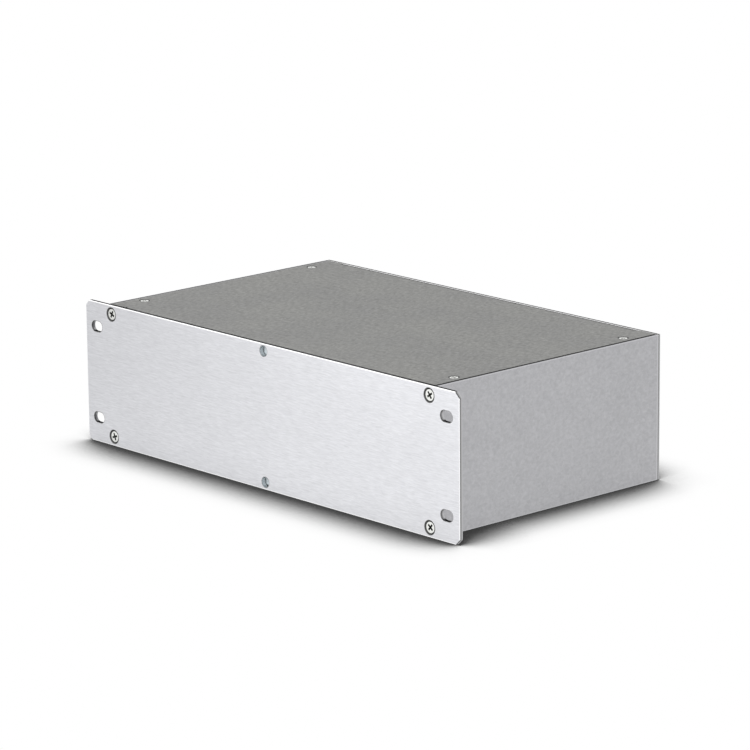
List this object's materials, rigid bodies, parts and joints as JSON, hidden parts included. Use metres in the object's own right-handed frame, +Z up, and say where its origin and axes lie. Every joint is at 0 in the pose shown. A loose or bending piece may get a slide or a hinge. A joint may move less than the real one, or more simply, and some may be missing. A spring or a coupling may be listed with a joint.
{
  "type": "extruded aluminium enclosure",
  "caption": "Low rectangular aluminium case: extruded sides carry folded sheet covers and flat end panels, and the front panel has slotted ears for rack fixing.",
  "frame": {"origin": "middle of the underside, in the plane that the case stands on", "axes": "+X to the right along the front panel, seen from the front; +Y from the front panel to the rear; +Z up"},
  "size_m": [0.33, 0.1816, 0.088],
  "materials": {
    "brushed_panel": "brushed along its length and anodised silver",
    "satin_extrusion": "satin silver anodised, faint draw lines along its length",
    "cover_sheet": "fine matt brushed, slightly warm grey",
    "nickel_screw": "nickel plated steel"
  },
  "bodies": {
    "root": {"front_panel": "brushed_panel", "rear_panel": "brushed_panel", "left_side_profile": "satin_extrusion", "right_side_profile": "satin_extrusion", "top_cover": "cover_sheet", "bottom_cover": "cover_sheet", "front_panel_screws": "nickel_screw", "rear_panel_screws": "nickel_screw", "top_cover_screws": "nickel_screw", "bottom_cover_screws": "nickel_screw"}
  },
  "joints": []
}
